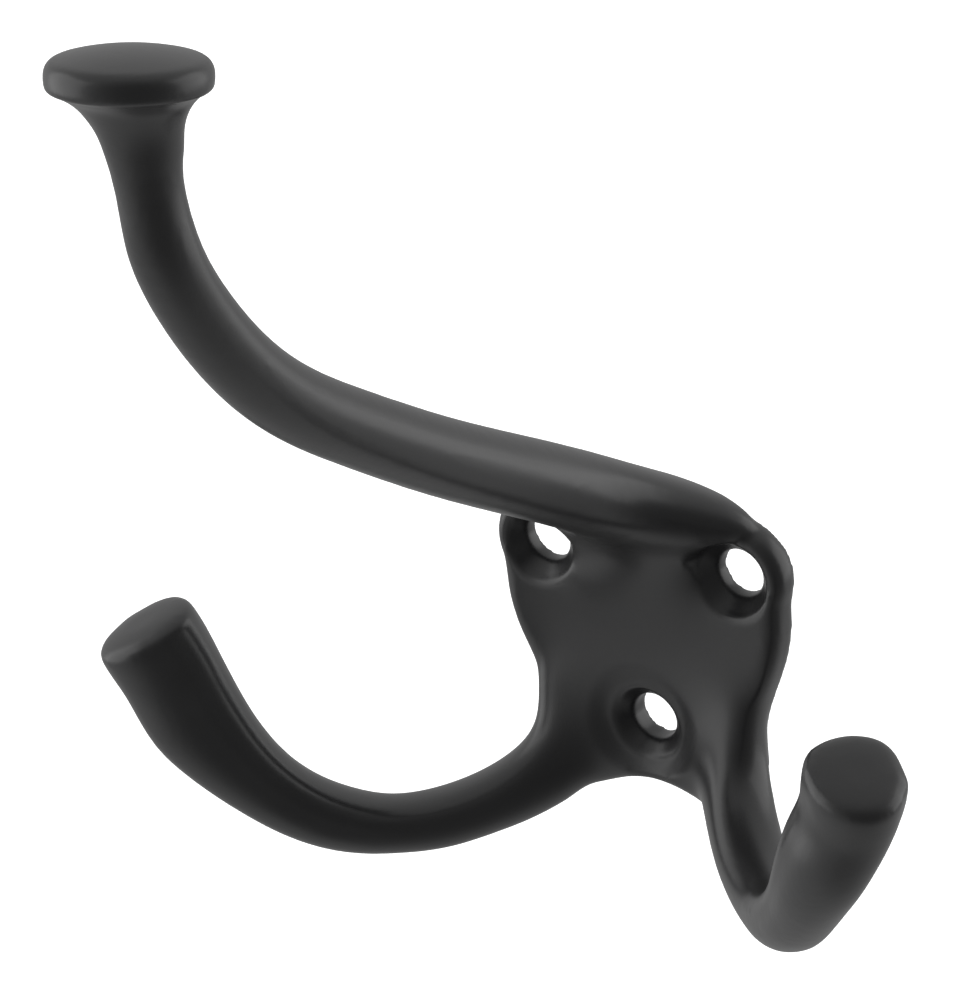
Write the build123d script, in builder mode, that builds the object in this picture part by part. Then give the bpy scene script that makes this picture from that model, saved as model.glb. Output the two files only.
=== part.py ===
from build123d import *
import os
from math import atan2, cos, degrees, exp, radians, sin, sqrt

os.makedirs("parts", exist_ok=True)

# Cast coat hook, one piece, in millimetres. The wall is the plane y = 0 and the hook
# grows out of it towards -Y, with +Z up. The origin is the middle of the wall face,
# halfway between the row of two upper screws and the single lower screw.

# Wall plate
ear_thickness = 3.4
foot_thickness = 4.5
plate_edge_radius = 1.5
ear_radius = 5.5
ear_top_angle = 25
ear_side_angle = 20
flank_half_width = 16.0
flank_height = 3.0
waist_half_width = 12.6
waist_height = -6.8
shoulder_top = 17.0
lobe_radius = 4.2
lobe_half_spacing = 7.7
lobe_height = -13.0
lobe_sweep = 110
crotch_height = -15.2

# Screw holes: number 8 flat-head wood screws
screw_hole_radius = 2.5
countersink_radius = 4.1
countersink_angle = 82
upper_screw_spacing = 22.6
upper_screw_height = 8.8
lower_screw_height = -8.8
dish_rim_radius = 7.2
dish_depth = 0.6
dish_rim_rise = 0.7
dish_rim_slope = (-0.35, 1)
dish_headroom = 1.0

# Upper prong: centreline in the plane x = 0, as (reach from the wall, height)
prong_inside = (1.5, 13.6)
prong_low = (12.0, 20.3)
prong_middle = (33.0, 32.9)
prong_outer = (46.0, 41.4)
prong_bend = (57.2, 49.8)
prong_rise = (66.4, 60.8)
prong_neck = (71.1, 72.4)
prong_throat = (71.4, 78.6)
prong_end = (72.3, 84.4)
prong_start_slope = 32.5
prong_end_lean = -10
prong_root_radius = 4.15
prong_middle_radius = 3.6
prong_neck_radius = 3.2
neck_flare_length = 2.6
neck_steps = (5.6, 3.8, 2.1, 0.8, 0.0)
root_blend_side = 4.2
root_blend_below = 7.4
root_half_height = 4.0
root_centre_height = 14.95
root_base_lift = 0.3
root_slope = 0.62
root_steps = (-0.5, 0.12, 0.6, 1.3, 2.2, 3.4, 5.6, 8.0)
root_sink = 0.9
root_sink_start = 2.2
prong_station_count = 14
shaft_first_station = 3

# Fan at the root of the prong: lengths along the centreline and the half widths there
fan_start = (0.0, 13.4)
fan_plate = (2.4, 12.4)
fan_front = (4.6, 10.2)
fan_shoulder = (7.0, 7.9)
fan_middle = (10.0, 5.9)
fan_waist = (13.5, 4.7)
fan_end = (18.0, 4.15)

# Knob on the end of the upper prong
knob_lean = 10
knob_radius = 7.4
knob_seat_radius = 6.45
knob_rim_radius = 6.75
knob_rim_height = 1.6
knob_dome_radius = 7.15
knob_dome_height = 2.2
knob_dome_start = (-0.5, 1)
knob_sink = 0.5

# Lower arms: centreline of the right one, as (sideways, reach from the wall, height)
arm_inside = (9.3, 1.9, 1.0)
arm_flank = (9.2, 2.5, -5.5)
arm_root = (9.9, 4.0, -12.4)
arm_fall = (14.4, 9.6, -17.1)
arm_low = (21.6, 17.2, -18.2)
arm_rise = (30.2, 25.2, -12.9)
arm_upper = (36.8, 29.3, -3.2)
arm_tip = (40.9, 30.2, 5.6)
arm_start_heading = (0, 0.05, -1)
arm_tip_heading = (0.33, 0.24, 0.92)
arm_start_half_width = 1.2
arm_shoulder_half_width = 1.8
arm_start_half_depth = 3.8
arm_start_round_depth = 7.0
arm_fall_round_depth = 5.0
arm_flank_half_width = 2.0
arm_turn_half_width = 3.1
arm_root_half_width = 3.7
arm_root_half_depth = 3.2
arm_low_half_width = 3.4
arm_low_half_depth = 2.9
arm_rise_half_width = 3.45
arm_rise_half_depth = 3.65
arm_upper_half_width = 4.15
arm_upper_half_depth = 5.1
arm_tip_half_width = 4.7
arm_tip_half_depth = 5.3
arm_root_twist = 40
arm_plan_angle = 41
arm_station_count = 15
arm_root_flatness = 0.5
arm_tip_flatness = 0.62
arm_flatness_power = 3
arm_twist_share = 0.55
arm_twist_power = 1.5
round_side_turns = (180, 205, 235, 270, 305, 335, 360)
flat_side_turns = (0, 15, 35, 60, 90, 120, 145, 165)
cap_height = 1.5
cap_power = 2.6
cap_steps = (0.3, 0.6, 0.82, 0.94, 0.985)

# Side of the block that trims everything behind the wall face
behind_wall = 60.0


def blend(table, where):
    """Read a value out of (station, value) pairs at a place along a path."""
    for (start, first), (end, last) in zip(table, table[1:]):
        if where <= end:
            share = (where - start) / (end - start)
            return first + (last - first) * share
    return table[-1][1]


def flare(rise, radius):
    """How far a quarter-circle blend stands out at a height above the plate's front."""
    if rise >= radius:
        return 0.0
    return radius - sqrt(radius ** 2 - (radius - max(rise, 0.0)) ** 2)


def outward(point):
    """Turn (sideways, reach, height) into a point, reach being towards -Y."""
    return Vector(point[0], -point[1], point[2])


# The prong's centreline, its radius along it and the axis of the knob on its end
prong_points = [
    prong_inside,
    prong_low,
    prong_middle,
    prong_outer,
    prong_bend,
    prong_rise,
    prong_neck,
    prong_throat,
    prong_end,
]
with BuildLine() as prong_line:
    Spline(
        [outward((0, reach, height)) for reach, height in prong_points],
        tangents=[
            (0, -cos(radians(prong_start_slope)), sin(radians(prong_start_slope))),
            (0, sin(radians(prong_end_lean)), cos(radians(prong_end_lean))),
        ],
    )
prong_radii = [
    (0.0, prong_root_radius),
    (0.55, prong_middle_radius),
    (0.85, prong_neck_radius),
    (1.0, prong_neck_radius),
]
knob_axis = Vector(0, sin(radians(knob_lean)), cos(radians(knob_lean)))
knob_plane = Plane(
    origin=outward((0, prong_end[0], prong_end[1])),
    x_dir=(1, 0, 0),
    z_dir=knob_axis,
)

# Sections of the prong, as flat ellipses in the fan and round ones after it: square to its
# centreline, then square to the knob's axis where the neck flares into the knob, and a last
# one sunk inside the knob
prong_edge = prong_line.edges()[0]
prong_sections = []
fan = [fan_start, fan_plate, fan_front, fan_shoulder, fan_middle, fan_waist, fan_end]
shaft_step = prong_edge.length / prong_station_count
shaft = [(shaft_step * step, 0) for step in range(shaft_first_station, prong_station_count)]
for length, half_width in fan + shaft:
    where = length / prong_edge.length
    radius = blend(prong_radii, where)
    plane = Plane(
        origin=prong_edge.position_at(where),
        x_dir=(1, 0, 0),
        z_dir=prong_edge.tangent_at(where),
    )
    prong_sections.append((plane, max(half_width, radius), radius))
for below in neck_steps:
    centre = prong_edge.position_at(1 - below / prong_edge.length)
    growth = (knob_seat_radius - prong_neck_radius) * exp(-below / neck_flare_length)
    plane = Plane(origin=centre, x_dir=(1, 0, 0), z_dir=knob_axis)
    prong_sections.append((plane, prong_neck_radius + growth, prong_neck_radius + growth))
prong_sections.append((knob_plane.offset(knob_sink), knob_seat_radius, knob_seat_radius))

# The right arm's centreline and the half sizes of its section along it
arm_points = [arm_inside, arm_flank, arm_root, arm_fall, arm_low, arm_rise, arm_upper, arm_tip]
with BuildLine() as arm_line:
    Spline(
        [outward(point) for point in arm_points],
        tangents=[outward(arm_start_heading), outward(arm_tip_heading)],
    )
arm_half_widths = [
    (0.0, arm_start_half_width),
    (0.045, arm_shoulder_half_width),
    (0.1, arm_flank_half_width),
    (0.19, arm_turn_half_width),
    (0.32, arm_root_half_width),
    (0.5, arm_low_half_width),
    (0.7, arm_rise_half_width),
    (0.86, arm_upper_half_width),
    (1.0, arm_tip_half_width),
]
arm_round_depths = [
    (0.0, arm_start_round_depth),
    (0.13, arm_start_round_depth),
    (0.2, arm_fall_round_depth),
    (0.33, arm_root_half_depth),
    (0.5, arm_low_half_depth),
    (0.7, arm_rise_half_depth),
    (0.86, arm_upper_half_depth),
    (1.0, arm_tip_half_depth),
]
arm_flat_depths = [
    (0.0, arm_start_half_depth),
    (0.16, arm_start_half_depth),
    (0.32, arm_root_half_depth),
    (0.5, arm_low_half_depth),
    (0.7, arm_rise_half_depth),
    (0.86, arm_upper_half_depth),
    (1.0, arm_tip_half_depth),
]


def arm_plane(where):
    """Section plane of the arm: local x across it, local y towards its flat inner side."""
    edge = arm_line.edges()[0]
    centre = edge.position_at(where)
    along = edge.tangent_at(where)
    across = Vector(sin(radians(arm_plan_angle)), cos(radians(arm_plan_angle)), 0)
    across = across - along * across.dot(along)
    twist = arm_root_twist * max(0.0, 1 - where / arm_twist_share) ** arm_twist_power
    across = across.rotate(Axis((0, 0, 0), along), -twist)
    return Plane(origin=centre, x_dir=across.normalized(), z_dir=along)


# Sections of the right arm: the plane, half width, both half depths and flatness of each D
arm_sections = []
for step in range(arm_station_count):
    where = step / (arm_station_count - 1)
    flatness_share = where ** arm_flatness_power
    flatness = arm_root_flatness + (arm_tip_flatness - arm_root_flatness) * flatness_share
    sizes = (
        blend(arm_half_widths, where),
        blend(arm_round_depths, where),
        blend(arm_flat_depths, where),
    )
    arm_sections.append((arm_plane(where), sizes, flatness))
for rise in cap_steps:
    shrink = (1 - rise ** cap_power) ** (1 / cap_power)
    sizes = (
        arm_tip_half_width * shrink,
        arm_tip_half_depth * shrink,
        arm_tip_half_depth * shrink,
    )
    arm_sections.append((arm_plane(1.0).offset(rise * cap_height), sizes, arm_tip_flatness))

# Right arm, lofted through the D sections from inside the plate to its domed cap. The
# round side of each D is half an ellipse and the flat side has soft corners.
with BuildPart() as right_arm:
    for plane, (half_width, round_depth, flat_depth), flatness in arm_sections:
        with BuildSketch(plane):
            with BuildLine():
                Spline(
                    [
                        (half_width * cos(radians(turn)), round_depth * sin(radians(turn)))
                        for turn in round_side_turns
                    ],
                    tangents=[(0, -1), (0, 1)],
                )
                Spline(
                    [
                        (half_width * cos(radians(turn)), flat_depth * sin(radians(turn)) ** flatness)
                        for turn in flat_side_turns
                    ]
                    + [(-half_width, 0)],
                    tangents=[(0, 1), (0, -1)],
                )
            make_face()
    loft()

# The plate's front face leans: it is thinner at the ears and thicker at the foot
front_tilt = degrees(atan2(foot_thickness - ear_thickness, upper_screw_height - lower_screw_height))
front_plane = Plane(
    origin=(0, -(ear_thickness + foot_thickness) / 2, (upper_screw_height + lower_screw_height) / 2),
    x_dir=(1, 0, 0),
    z_dir=(0, -cos(radians(front_tilt)), sin(radians(front_tilt))),
)

with BuildPart() as coat_hook:
    # Plate: two round ears, a waist, two lobes the arms leave from, an arched crotch
    with BuildSketch(Plane.XZ):
        with BuildLine():
            ear_x = upper_screw_spacing / 2
            top_turn = radians(ear_top_angle)
            top_end = (ear_x + ear_radius * sin(top_turn), upper_screw_height + ear_radius * cos(top_turn))
            Spline((0, shoulder_top), top_end, tangents=[(1, 0), (cos(top_turn), -sin(top_turn))])
            ear_sweep = ear_top_angle - ear_side_angle - 90
            ear = CenterArc((ear_x, upper_screw_height), ear_radius, 90 - ear_top_angle, ear_sweep)
            Spline(
                ear @ 1,
                (flank_half_width, flank_height),
                (waist_half_width, waist_height),
                (lobe_half_spacing + lobe_radius, lobe_height),
                tangents=[ear % 1, (0, -1)],
            )
            lobe = CenterArc((lobe_half_spacing, lobe_height), lobe_radius, 0, -lobe_sweep)
            Spline(lobe @ 1, (0, crotch_height), tangents=[lobe % 1, (-1, 0)])
            mirror(about=Plane.YZ)
        make_face()
    extrude(amount=2 * foot_thickness)
    split(bisect_by=front_plane, keep=Keep.BOTTOM)
    fillet(faces().sort_by(Axis.Y)[0].edges(), plate_edge_radius)

    # Lower arms
    add(right_arm.part)
    mirror(right_arm.part, about=Plane.YZ)

    # Upper prong, whose root fans out to the ears as flat ellipses
    for plane, half_width, radius in prong_sections:
        with BuildSketch(plane):
            Ellipse(half_width, radius)
    loft()

    # Trumpet where the prong meets the plate: ellipses parallel to the wall whose sides
    # and underside open along quarter circles tangent to the prong and to the plate
    for rise in root_steps:
        reach = ear_thickness + root_base_lift + rise
        side = flare(rise, root_blend_side)
        below = flare(rise, root_blend_below)
        sink = root_sink * max(0.0, rise - root_sink_start) / (root_steps[-1] - root_sink_start)
        centre_height = root_centre_height + root_slope * rise - below / 2
        with BuildSketch(Plane((0, -reach, centre_height), (1, 0, 0), (0, -1, 0))):
            Ellipse(prong_root_radius - sink + side, root_half_height - sink + below / 2)
    loft()

    # Knob: rounded rim and low dome, turned about its own leaning axis
    knob_side = Plane(origin=knob_plane.origin, x_dir=(1, 0, 0), z_dir=-knob_plane.y_dir)
    with BuildSketch(knob_side):
        with BuildLine():
            Line((0, 0), (knob_rim_radius, 0))
            ThreePointArc(
                (knob_rim_radius, 0),
                (knob_radius, knob_rim_height / 2),
                (knob_dome_radius, knob_rim_height),
            )
            Spline(
                (knob_dome_radius, knob_rim_height),
                (0, knob_rim_height + knob_dome_height),
                tangents=[knob_dome_start, (-1, 0)],
            )
            Line((0, knob_rim_height + knob_dome_height), (0, 0))
        make_face()
    revolve(axis=Axis(knob_plane.origin, knob_plane.z_dir))

    # Everything behind the wall face is cut away flat
    with BuildSketch(Plane.XZ):
        Rectangle(behind_wall, behind_wall)
    extrude(amount=-behind_wall, mode=Mode.SUBTRACT)

    # Countersunk screw holes and the soft dish round the lower one
    dish_bottom = (dish_depth - foot_thickness, lower_screw_height)
    dish_rim = (-foot_thickness - dish_rim_rise, lower_screw_height + dish_rim_radius)
    dish_outside = -foot_thickness - dish_headroom
    with BuildSketch(Plane.YZ):
        with BuildLine():
            Spline(dish_bottom, dish_rim, tangents=[(0, 1), dish_rim_slope])
            Polyline(dish_rim, (dish_outside, dish_rim[1]), (dish_outside, dish_bottom[1]), dish_bottom)
        make_face()
    revolve(axis=Axis((0, 0, lower_screw_height), (0, 1, 0)), mode=Mode.SUBTRACT)
    screw_places = [
        (-upper_screw_spacing / 2, upper_screw_height, ear_thickness),
        (upper_screw_spacing / 2, upper_screw_height, ear_thickness),
        (0, lower_screw_height, foot_thickness - dish_depth / 2),
    ]
    with Locations(*[Plane.XZ.location * Location(place) for place in screw_places]):
        CounterSinkHole(screw_hole_radius, countersink_radius, counter_sink_angle=countersink_angle)

coat_hook.part.label = "coat_hook"
export_step(coat_hook.part, "parts/coat_hook.step")
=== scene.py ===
# %% [markdown]
# # A cast coat hook in satin black
#
# The finished hook is one casting: a screw plate, a long prong that ends in a knob, and two
# arms that curl up to domed tips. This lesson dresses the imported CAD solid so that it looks
# like the coated casting in the photograph. It starts by loading that solid as a fixed frame
# and by noting the box that the visual model has to stay inside.

# %% Load the frame
import math
import bmesh
import bpy
import numpy as np
from mathutils import Matrix, Vector


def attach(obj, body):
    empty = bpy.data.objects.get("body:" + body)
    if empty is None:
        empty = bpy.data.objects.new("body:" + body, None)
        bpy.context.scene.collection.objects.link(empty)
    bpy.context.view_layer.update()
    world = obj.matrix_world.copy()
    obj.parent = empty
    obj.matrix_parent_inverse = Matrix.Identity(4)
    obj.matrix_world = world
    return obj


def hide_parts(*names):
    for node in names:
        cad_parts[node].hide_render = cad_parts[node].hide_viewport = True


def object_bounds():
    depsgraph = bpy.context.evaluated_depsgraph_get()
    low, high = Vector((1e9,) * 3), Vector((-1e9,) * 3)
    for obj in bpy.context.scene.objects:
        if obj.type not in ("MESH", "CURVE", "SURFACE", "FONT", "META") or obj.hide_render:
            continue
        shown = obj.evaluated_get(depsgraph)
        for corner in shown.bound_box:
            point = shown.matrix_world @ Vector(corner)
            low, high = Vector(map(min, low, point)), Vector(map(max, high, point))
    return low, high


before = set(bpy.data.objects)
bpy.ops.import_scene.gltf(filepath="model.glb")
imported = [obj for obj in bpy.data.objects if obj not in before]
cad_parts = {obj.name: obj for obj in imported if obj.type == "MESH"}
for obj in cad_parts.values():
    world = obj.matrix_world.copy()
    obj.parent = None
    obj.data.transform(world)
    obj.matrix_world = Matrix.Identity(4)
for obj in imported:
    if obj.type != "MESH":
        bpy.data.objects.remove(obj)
cad_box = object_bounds()
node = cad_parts["coat_hook"]
print("CAD box in metres:", [[round(v, 4) for v in corner] for corner in cad_box])

# %% [markdown]
# ## The camera
#
# The camera stands where the photograph's stood: to the right of the hook, above it, a little
# over half a metre away with a long lens. Its place was worked out from the screw holes and
# the outline of the hook, so nothing needs a shift. Blender wants the lens in millimetres for
# a sensor 36 mm wide, and the longer side of the picture, 1000 pixels, takes that sensor.

# %% Set up the camera
camera_place = Vector((0.31547, -0.46079, 0.26926))
camera_azimuth = math.radians(36.1)
camera_elevation = math.radians(24.4)
camera_roll = math.radians(-6.2)
focal_pixels = 6204.2
picture_height = 1000
sensor = 36.0

level_right = Vector((math.cos(camera_azimuth), math.sin(camera_azimuth), 0))
ahead = Vector((
    -math.sin(camera_azimuth) * math.cos(camera_elevation),
    math.cos(camera_azimuth) * math.cos(camera_elevation),
    -math.sin(camera_elevation),
))
level_up = level_right.cross(ahead)
right = level_right * math.cos(camera_roll) + level_up * math.sin(camera_roll)
up = level_up * math.cos(camera_roll) - level_right * math.sin(camera_roll)

lens = bpy.data.cameras.new("photo_camera")
lens.sensor_width = sensor
lens.lens = focal_pixels / picture_height * sensor
lens.clip_start = 0.05
lens.clip_end = 60
camera = bpy.data.objects.new("photo_camera", lens)
bpy.context.scene.collection.objects.link(camera)
turn = Matrix((right, up, -ahead)).transposed()
camera.matrix_world = Matrix.Translation(camera_place) @ turn.to_4x4()
bpy.context.scene.camera = camera
bpy.context.scene.view_settings.view_transform = "Standard"
print("lens", round(lens.lens, 1), "mm, distance", round(camera_place.length * 1000), "mm")

# %% [markdown]
# ## From construction solid to casting
#
# In the CAD model the prong and the arms meet the plate in crisp lines, because each was
# lofted on its own. A casting looks softer: its inner corners are fillets and its outer edges
# are rounded. So the surface is made new. A voxel remesh turns the solid into small even
# squares, and the corners can then be relaxed like clay.
#
# The merged copy is needed because the CAD mesh is made of loose triangles, which a remesh
# could take for open shells.

# %% Copy, merge and remesh the solid
voxel = 0.00034

casting = bpy.data.objects.new("hook_casting", node.data.copy())
bpy.context.scene.collection.objects.link(casting)
shape = bmesh.new()
shape.from_mesh(casting.data)
bmesh.ops.remove_doubles(shape, verts=shape.verts, dist=1e-6)
shape.to_mesh(casting.data)
open_edges = sum(1 for edge in shape.edges if not edge.is_manifold)
shape.free()
print("merged copy:", len(casting.data.polygons), "faces,", open_edges, "open edges")

remesh = casting.modifiers.new("even_squares", "REMESH")
remesh.mode = "VOXEL"
remesh.voxel_size = voxel
remesh.adaptivity = 0
bpy.context.view_layer.update()
evaluated = casting.evaluated_get(bpy.context.evaluated_depsgraph_get())
even = bpy.data.meshes.new_from_object(evaluated)
casting.modifiers.clear()
casting.data = even
even.name = "hook_casting"
print("remeshed:", len(even.vertices), "vertices,", len(even.polygons), "faces")

# %% [markdown]
# ## Relaxing the surface
#
# Each vertex is pulled towards the middle of its neighbours. Done over the whole surface a few
# times, forwards and then a little backwards, this wipes out the stair steps of the voxels
# and hardly shrinks the hook.

# %% Helpers that relax the surface
count = len(even.vertices)
place = np.empty(count * 3)
even.vertices.foreach_get("co", place)
place = place.reshape(-1, 3)
ends = np.empty(len(even.edges) * 2, dtype=np.int64)
even.edges.foreach_get("vertices", ends)
ends = ends.reshape(-1, 2)
neighbours = np.bincount(ends.ravel(), minlength=count).astype(float)


def pull(points):
    """The step from each vertex to the middle of its neighbours."""
    total = np.empty_like(points)
    for axis in range(3):
        along = np.bincount(ends[:, 0], weights=points[ends[:, 1], axis], minlength=count)
        along += np.bincount(ends[:, 1], weights=points[ends[:, 0], axis], minlength=count)
        total[:, axis] = along / neighbours
    return total - points


def outward_of(points):
    """The outward direction at each vertex of the mesh whose vertices are these points."""
    even.vertices.foreach_set("co", points.ravel())
    even.update()
    facing = np.empty(count * 3)
    even.vertices.foreach_get("normal", facing)
    return facing.reshape(-1, 3)


for step in range(14):
    place = place + 0.5 * pull(place)
    place = place - 0.52 * pull(place)
print("stair steps smoothed")

# %% [markdown]
# The photograph doesn't show the back. It is made flat, because it is screwed to a wall, with
# a slightly rounded rim. A stronger pull near the wall plane rounds that rim, and setting the
# face back to zero keeps it flat.

# %% Round the rim of the back
hole_places = [(-0.0113, 0.0088), (0.0113, 0.0088), (0.0, -0.0088)]


def clear_of_holes(keep, fade):
    """Nothing within a radius of each screw hole's axis, fading to one beyond it."""
    share = np.ones(count)
    for across, height in hole_places:
        away = np.hypot(place[:, 0] - across, place[:, 2] - height)
        share *= np.clip((away - keep) / fade, 0, 1)
    return share


rim_depth = 0.0012
back_face = place[:, 1] > -0.00008
near_back = np.clip(1 + place[:, 1] / rim_depth, 0, 1) * clear_of_holes(0.0030, 0.0006)
for step in range(30):
    place = place + 0.5 * near_back[:, None] * pull(place)
    place[back_face, 1] = 0
print("rim of the back rounded:", int(back_face.sum()), "vertices lie on the wall")

# %% [markdown]
# ## Filling the inner corners
#
# Where the pull points out of the metal, the surface is hollow there: an inner corner. Moving
# vertices only in those places fills each corner with a fillet and leaves the outer edges
# crisp. A fillet grows with each pass, but ever more slowly, so a wide one is made in another
# way further down. The screw holes are hollow too, and keep their size because the passes
# fade out round them.

# %% Fill the corners
free = np.clip((-0.0006 - place[:, 1]) / 0.0008, 0, 1) * clear_of_holes(0.0043, 0.0010)


def patch_of(amount):
    """The vertices that an amount per vertex touches, with their links and link counts."""
    touched = np.nonzero((amount[ends] > 0).any(axis=1))[0]
    some, links = np.unique(ends[touched], return_inverse=True)
    links = links.reshape(-1, 2)
    return some, links, np.bincount(links.ravel(), minlength=len(some)).astype(float)


def pull_patch(patch, links, linked):
    """The step from each vertex of a patch to the middle of its neighbours."""
    middle = np.empty_like(patch)
    for axis in range(3):
        along = np.bincount(links[:, 0], weights=patch[links[:, 1], axis], minlength=len(patch))
        along += np.bincount(links[:, 1], weights=patch[links[:, 0], axis], minlength=len(patch))
        middle[:, axis] = along / linked
    return middle - patch


def fill_corners(points, passes, amount):
    """Raise the hollow places by this many passes, each scaled by an amount per vertex."""
    some, links, linked = patch_of(amount)
    scale = (0.8 * amount[some])[:, None]
    patch = points[some]
    for step in range(passes):
        if step % 20 == 0:
            points[some] = patch
            facing = outward_of(points)[some]
        rise = np.einsum("ij,ij->i", pull_patch(patch, links, linked), facing)
        patch = patch + scale * np.clip(rise, 0, None)[:, None] * facing
    points[some] = patch
    return points


def soften(points, passes, amount):
    """Wipe out narrow creases by pulling forwards and then a little further backwards."""
    some, links, linked = patch_of(amount)
    scale = amount[some][:, None]
    patch = points[some]
    for step in range(passes):
        patch = patch + 0.5 * scale * pull_patch(patch, links, linked)
        patch = patch - 0.51 * scale * pull_patch(patch, links, linked)
    points[some] = patch
    return points


def fade_in(share):
    """A smooth step from nothing to one as the share goes from nothing to one."""
    share = np.clip(share, 0, 1)
    return share * share * (3 - 2 * share)


def soft_ball(centre, inner, outer):
    """One inside the inner radius round a centre, fading to nothing at the outer one."""
    away = np.linalg.norm(place - np.array(centre), axis=1)
    return fade_in((outer - away) / (outer - inner))


def balls_on_both_sides(balls, wider=0.0):
    """The union of soft balls, given for the right side only and mirrored to the left."""
    share = np.zeros(count)
    for (sideways, out, up), inner, outer in balls:
        for side in (-1, 1):
            share = np.maximum(share, soft_ball((side * sideways, out, up), inner, outer + wider))
    return share


place = fill_corners(place, 220, free)
print("small fillets filled")

# %% [markdown]
# The prong's root flows more than the rest: it opens onto the plate like the mouth of a
# trumpet. Its fillet is the one that a ball would leave if it were rolled along the corner. On
# a map of the front's depth over width and height, rolling a ball takes two steps. The first
# finds how far out the metal keeps the ball's lowest point, and the second lets the ball sink
# back from there, which levels all that it couldn't reach.

# %% Roll a ball under the prong
cell = 0.0004
map_left, map_low = -0.012, 0.001
map_size = (60, 52)
deepest = 0.0105
furthest_out = 0.0100
ball = 0.0085

column = ((place[:, 0] - map_left) / cell).astype(int)
row = ((place[:, 2] - map_low) / cell).astype(int)
on_map = (column >= 0) & (column < map_size[0] - 1) & (row >= 0) & (row < map_size[1] - 1)
depth_map = np.zeros(map_size)
np.maximum.at(depth_map, (column[on_map], row[on_map]), np.minimum(-place[on_map, 1], deepest))

reach_cells = int(0.8 * ball / cell)
shifts = [
    (i, j, math.sqrt(ball ** 2 - (i * i + j * j) * cell ** 2) - ball)
    for i in range(-reach_cells, reach_cells + 1)
    for j in range(-reach_cells, reach_cells + 1)
    if i * i + j * j <= reach_cells ** 2
]


def over_shifts(levels, sign):
    """The highest or lowest level that the ball's shape finds round each cell."""
    padded = np.pad(levels, reach_cells, mode="edge")
    found = np.full(levels.shape, -np.inf)
    for i, j, drop in shifts:
        window = padded[
            reach_cells + i : reach_cells + i + levels.shape[0],
            reach_cells + j : reach_cells + j + levels.shape[1],
        ]
        found = np.maximum(found, sign * window + drop)
    return sign * found


rolled = over_shifts(over_shifts(depth_map, 1), -1)
inner = rolled[1:-1, 1:-1]
for step in range(3):
    round_it = rolled[:-2, 1:-1] + rolled[2:, 1:-1] + rolled[1:-1, :-2] + rolled[1:-1, 2:]
    inner += 0.2 * (round_it - 4 * inner)

i = np.clip((place[:, 0] - map_left) / cell - 0.5, 0, map_size[0] - 2)
j = np.clip((place[:, 2] - map_low) / cell - 0.5, 0, map_size[1] - 2)
i0, j0 = i.astype(int), j.astype(int)
fi, fj = i - i0, j - j0
target = (
    (1 - fi) * (1 - fj) * rolled[i0, j0]
    + fi * (1 - fj) * rolled[i0 + 1, j0]
    + (1 - fi) * fj * rolled[i0, j0 + 1]
    + fi * fj * rolled[i0 + 1, j0 + 1]
)
half_width, width_fade = 0.0105, 0.0030
lowest, highest, height_fade = 0.0020, 0.0155, 0.0020
skin = 0.0016
most = 0.0035
out, up = -place[:, 1], place[:, 2]
beside = np.clip((half_width - np.abs(place[:, 0])) / width_fade, 0, 1)
above = np.clip((up - lowest) / height_fade, 0, 1)
below = np.clip((highest - up) / height_fade, 0, 1)
at_front = on_map & (out > depth_map[i0, j0] - skin) & (out < furthest_out)
lift = np.where(at_front, np.clip(target - out, 0, most) * beside * (above * below) * free, 0)
place[:, 1] -= lift
print("ball of radius", ball * 1000, "mm filled at most", round(float(lift.max()) * 1000, 2), "mm")

# %% [markdown]
# The arms grow out of the plate's flanks with no edge at all, and the fan of the root runs out
# above the ears in the same way. There the creases are softened first and their hollows
# filled. A last plain pull on the arms' roots and on the rims of their caps rounds them.

# %% Soften the roots
root = soft_ball((0.0, -0.0060, 0.0115), 0.0085, 0.0150)
place = soften(place, 40, free * root)
place = fill_corners(place, 400, free * root)

arm_line = [
    ((0.0085, -0.0050, -0.0080), 0.0035, 0.0075),
    ((0.0105, -0.0060, -0.0130), 0.0035, 0.0070),
    ((0.0140, -0.0095, -0.0165), 0.0040, 0.0070),
    ((0.0185, -0.0140, -0.0180), 0.0035, 0.0070),
]
arm_roots = balls_on_both_sides(arm_line)
place = soften(place, 260, free * arm_roots)
flat_roots = balls_on_both_sides(arm_line, wider=0.0030)
place = fill_corners(place, 300, free * flat_roots)
for step in range(45):
    place = place + 0.5 * (free * flat_roots)[:, None] * pull(place)
caps = balls_on_both_sides([((0.0409, -0.0302, 0.0060), 0.0050, 0.0065)])
for step in range(8):
    place = place + 0.5 * caps[:, None] * pull(place)
print("roots softened:", int((arm_roots > 0).sum()), "vertices on the arms")

# %% [markdown]
# Round the lower screw hole the plate is dished, as if pressed with a thumb, and the dish ends
# in a soft ring. The relaxing softened it, so it is pressed in a little deeper.

# %% Press the dish in again
dish_inner = 0.0046
dish_outer = 0.0066
dish_press = 0.00032
lower_hole = hole_places[2]
away = np.hypot(place[:, 0] - lower_hole[0], place[:, 2] - lower_hole[1])
depth = fade_in((dish_outer - away) / (dish_outer - dish_inner))
on_front = np.clip((-0.0030 - place[:, 1]) / 0.0006, 0, 1)
off_countersink = np.clip((away - 0.0036) / 0.0008, 0, 1)
place[:, 1] += dish_press * (depth * (on_front * off_countersink))
print("dish pressed by", round(dish_press * 1000, 2), "mm")

# %% [markdown]
# ## The knob's edge
#
# The knob has an upright band with a crisp upper edge and a shallow dome on it, like the lid
# of a tin. Seen in its own half plane, each vertex keeps its direction from a point on the
# knob's axis and only its distance changes, to that of a new profile.

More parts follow.
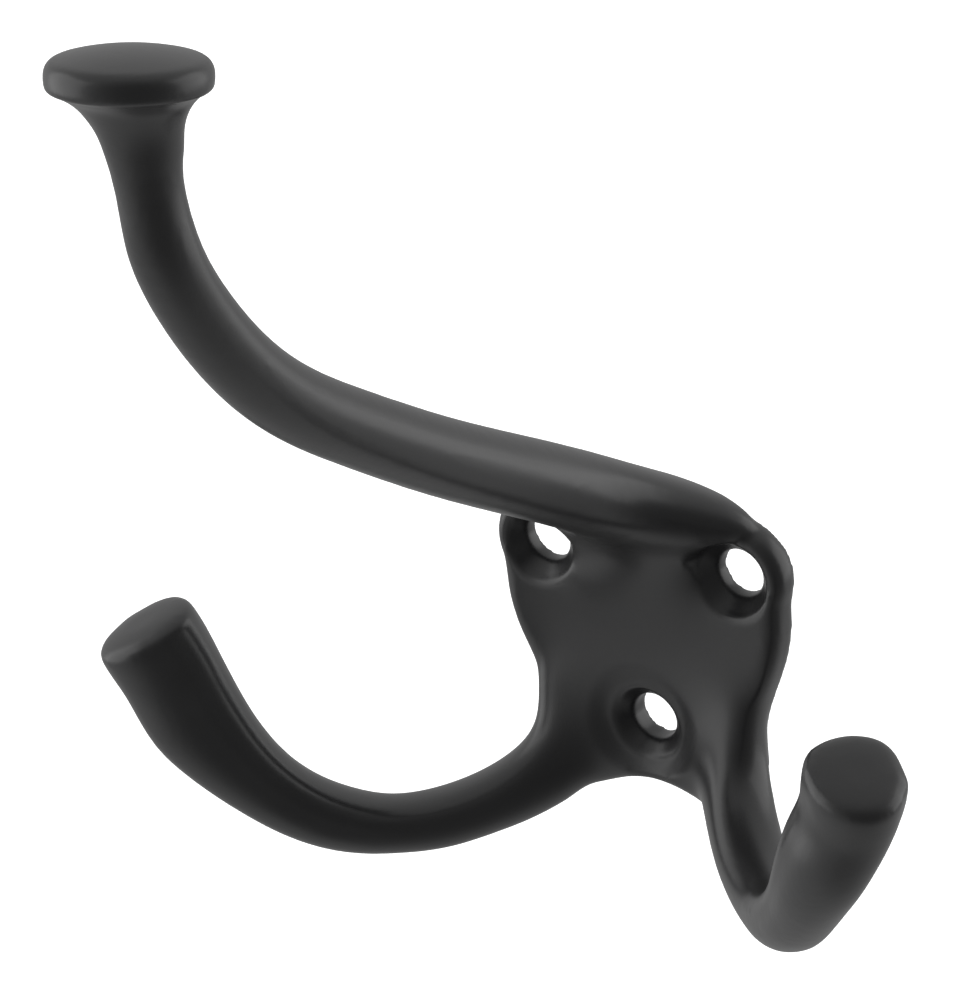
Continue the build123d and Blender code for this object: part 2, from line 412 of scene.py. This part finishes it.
# %% Give the knob its band
knob_seat = np.array([0.0, -0.0723, 0.0844])
knob_lean = math.radians(10)
knob_axis = np.array([0.0, math.sin(knob_lean), math.cos(knob_lean)])
knob_middle = 1.2
knob_dome_top = 3.72
band = [(6.75, 0.0), (7.15, 0.15), (7.34, 0.5), (7.4, 1.1), (7.38, 1.7), (7.25, 2.15), (7.0, 2.5)]
edge_radius, edge_height = 6.6, 2.78
dome = [
    (edge_radius * share, knob_dome_top - (knob_dome_top - edge_height) * share ** 2)
    for share in (1, 0.95, 0.9, 0.8, 0.7, 0.6, 0.5, 0.4, 0.3, 0.2, 0.1, 0)
]
profile = np.array(band + dome)
profile_turn = np.arctan2(profile[:, 1] - knob_middle, profile[:, 0])
profile_away = np.hypot(profile[:, 1] - knob_middle, profile[:, 0])

from_seat = (place - knob_seat) * 1000
height = from_seat @ knob_axis
across = from_seat - height[:, None] * knob_axis
radius = np.linalg.norm(across, axis=1)
turn = np.arctan2(height - knob_middle, radius)
on_knob = (turn > profile_turn[0]) & (height > -0.2) & (radius < 9)
was = np.hypot(height - knob_middle, radius)
wanted = np.interp(turn, profile_turn, profile_away)
stretch = np.where(on_knob, wanted / np.maximum(was, 1e-6), 1.0)
middle_of_knob = knob_seat + knob_axis * knob_middle / 1000
place = np.where(on_knob[:, None], middle_of_knob + (place - middle_of_knob) * stretch[:, None], place)
for step in range(6):
    place = place + 0.5 * pull(place)
    place = place - 0.5 * pull(place)
print("knob reshaped:", int(on_knob.sum()), "vertices, moved by at most",
      round(float(np.abs(wanted - was)[on_knob].max()), 2), "mm")

# %% [markdown]
# The finished surface may not leave the box of the CAD solid, so any vertex that bulges past
# it is set back onto it.

# %% Keep inside the box
low = np.array(cad_box[0])
high = np.array(cad_box[1])
place = np.clip(place, low, high)
outward_of(place)
for polygon in even.polygons:
    polygon.use_smooth = True
print("box of the casting:", place.min(axis=0).round(4), place.max(axis=0).round(4))

# %% [markdown]
# ## A short way of writing shader maths
#
# Node trees get long when every plus sign is a node that has to be added and linked. This
# small class wraps a socket, so that an ordinary Python expression adds the nodes.

# %% Shader helpers
class Value:
    """A socket that holds a number. Arithmetic on it adds Math nodes."""

    def __init__(self, tree, socket):
        self.tree = tree
        self.socket = socket

    def math(self, operation, other=None, swap=False):
        first, second = (other, self) if swap else (self, other)
        made = self.tree.node("ShaderNodeMath", {"operation": operation}, {0: first, 1: second})
        return Value(self.tree, made.outputs[0])

    def __add__(self, other):
        return self.math("ADD", other)

    def __radd__(self, other):
        return self.math("ADD", other, swap=True)

    def __sub__(self, other):
        return self.math("SUBTRACT", other)

    def __rsub__(self, other):
        return self.math("SUBTRACT", other, swap=True)

    def __mul__(self, other):
        return self.math("MULTIPLY", other)

    def __rmul__(self, other):
        return self.math("MULTIPLY", other, swap=True)


class Tree:
    """A material's node tree with one method that adds any node."""

    def __init__(self, material):
        material.use_nodes = True
        self.nodes = material.node_tree.nodes
        self.links = material.node_tree.links
        self.nodes.clear()

    def node(self, kind, settings=None, sockets=None):
        made = self.nodes.new(kind)
        for name, setting in (settings or {}).items():
            setattr(made, name, setting)
        for name, given in (sockets or {}).items():
            if given is None:
                continue
            if isinstance(given, Value):
                given = given.socket
            if isinstance(given, bpy.types.NodeSocket):
                self.links.new(given, made.inputs[name])
            else:
                made.inputs[name].default_value = given
        return made

    def number(self, kind, output, settings=None, sockets=None):
        return Value(self, self.node(kind, settings, sockets).outputs[output])


# %% [markdown]
# ## The satin black coating
#
# The coating is black with a satin sheen. Close up it isn't one flat colour. Three faint
# patterns give it a slight waviness, a very fine grain and a sheen that changes from place to
# place, as if from handling. Each pattern's scale is given per millimetre. Object coordinates
# are in metres, so a noise of scale 1000 repeats about once a millimetre.

# %% Make the coating
coating = bpy.data.materials.new("satin_black_coat")
tree = Tree(coating)
where = tree.node("ShaderNodeTexCoord").outputs["Object"]


def noise(per_millimetre, detail, roughness=0.5):
    """Noise that repeats this often in a millimetre of the surface."""
    sockets = {"Vector": where, "Scale": per_millimetre * 1000, "Detail": detail, "Roughness": roughness}
    return tree.number("ShaderNodeTexNoise", "Fac", None, sockets)


grain = noise(3.2, 2)
waviness = noise(0.35, 3)
handling = noise(0.06, 4, 0.6)

tint = tree.node(
    "ShaderNodeMix",
    {"data_type": "RGBA"},
    {0: (handling * 0.6 + grain * 0.4), 6: (0.0105, 0.0105, 0.0112, 1), 7: (0.0185, 0.0185, 0.019, 1)},
)
sheen_spread = 0.28 + 0.06 * handling + 0.03 * grain
height = waviness * 0.7 + grain * 0.3
bump = tree.node("ShaderNodeBump", None, {"Strength": 0.12, "Distance": 0.00012, "Height": height})
coat = tree.node(
    "ShaderNodeBsdfPrincipled",
    None,
    {
        "Base Color": tint.outputs[2],
        "Roughness": sheen_spread,
        "Specular IOR Level": 0.45,
        "Normal": bump.outputs[0],
    },
)
tree.node("ShaderNodeOutputMaterial", None, {"Surface": coat.outputs[0]})
casting.data.materials.clear()
casting.data.materials.append(coating)
print("coating:", len(coating.node_tree.nodes), "nodes")

# %% [markdown]
# ## Telling the frame what stands for what
#
# The new surface replaces the CAD node in the picture. The CAD node stays in the physics
# model. The hook has no joints, so everything rides on its one body.

# %% Register the casting
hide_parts("coat_hook")
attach(casting, "root")

# %% [markdown]
# ## Floor, backdrop and light
#
# The photograph shows the hook against plain white, with no shadow. The floor lies well under
# the hook and glows a little for the camera alone, so it stays white there. The coating
# doesn't mirror the floor: it mirrors the world's own shades, which would be cut off by a
# floor so near.

# %% Make the floor
floor_height = -0.075
floor_size = 6.0
shape = bmesh.new()
bmesh.ops.create_grid(shape, x_segments=1, y_segments=1, size=floor_size / 2)
bmesh.ops.translate(shape, verts=shape.verts, vec=(0, 0, floor_height))
floor_mesh = bpy.data.meshes.new("floor")
shape.to_mesh(floor_mesh)
shape.free()
floor = bpy.data.objects.new("floor", floor_mesh)
bpy.context.scene.collection.objects.link(floor)
floor.visible_glossy = False
floor.visible_diffuse = False
floor.visible_shadow = False
pale = bpy.data.materials.new("pale_floor")
tree = Tree(pale)
matte = tree.node("ShaderNodeBsdfDiffuse", None, {"Color": (0.8, 0.8, 0.8, 1)})
glow = tree.node("ShaderNodeEmission", None, {"Color": (1, 1, 1, 1), "Strength": 0.75})
both = tree.node("ShaderNodeAddShader", None, {0: matte.outputs[0], 1: glow.outputs[0]})
seen = tree.node("ShaderNodeLightPath").outputs["Is Camera Ray"]
shown = tree.node("ShaderNodeMixShader", None, {0: seen, 1: matte.outputs[0], 2: both.outputs[0]})
tree.node("ShaderNodeOutputMaterial", None, {"Surface": shown.outputs[0]})
floor.data.materials.append(pale)

# %% [markdown]
# A black object shows little but what it mirrors. The light here is even and pale: darker
# where the camera stands and low down behind the hook, with one large softbox to the left and
# a weaker one to the right. That fits the shading in the photograph, apart from the knob's
# ends and the ridge of the right arm, which are lighter there.

# %% Light the world
camera_side = Vector((0.778, -0.628, 0.0))
low_behind = Vector((-0.45, 0.62, -0.64)).normalized()
world = bpy.data.worlds.new("studio")
bpy.context.scene.world = world
tree = Tree(world)
direction = tree.node("ShaderNodeTexCoord").outputs["Generated"]


def shade(towards, near, far, near_level, far_level):
    """A level that changes with the angle from a direction, given as cosines."""
    cosine = tree.number(
        "ShaderNodeVectorMath", "Value", {"operation": "DOT_PRODUCT"}, {0: direction, 1: tuple(towards)}
    )
    return tree.number(
        "ShaderNodeMapRange",
        "Result",
        {"interpolation_type": "SMOOTHSTEP"},
        {"Value": cosine, "From Min": far, "From Max": near, "To Min": far_level, "To Max": near_level},
    )


surroundings = shade(camera_side, 0.97, 0.0, 0.22, 0.80) - shade(low_behind, 0.95, 0.2, 0.30, 0.0)
looked_at = Value(tree, tree.node("ShaderNodeLightPath").outputs["Is Camera Ray"])
strength = surroundings * (1 - looked_at) + looked_at
sky = tree.node("ShaderNodeBackground", None, {"Color": (1, 1, 1, 1), "Strength": strength})
tree.node("ShaderNodeOutputWorld", None, {"Surface": sky.outputs[0]})


# %% Hang the lamps
def softbox(name, place, size, power):
    """A square lamp that faces the hook."""
    lamp = bpy.data.lights.new(name, "AREA")
    lamp.shape = "SQUARE"
    lamp.size = size
    lamp.energy = power
    held = bpy.data.objects.new(name, lamp)
    bpy.context.scene.collection.objects.link(held)
    aim = Vector((0, -0.03, 0.03)) - Vector(place)
    held.rotation_euler = aim.to_track_quat("-Z", "Y").to_euler()
    held.location = place
    return held


softbox("left_softbox", (-0.84, -0.50, 0.26), 1.25, 6.0)
softbox("right_softbox", (0.75, 0.66, 0.18), 1.1, 4.6)
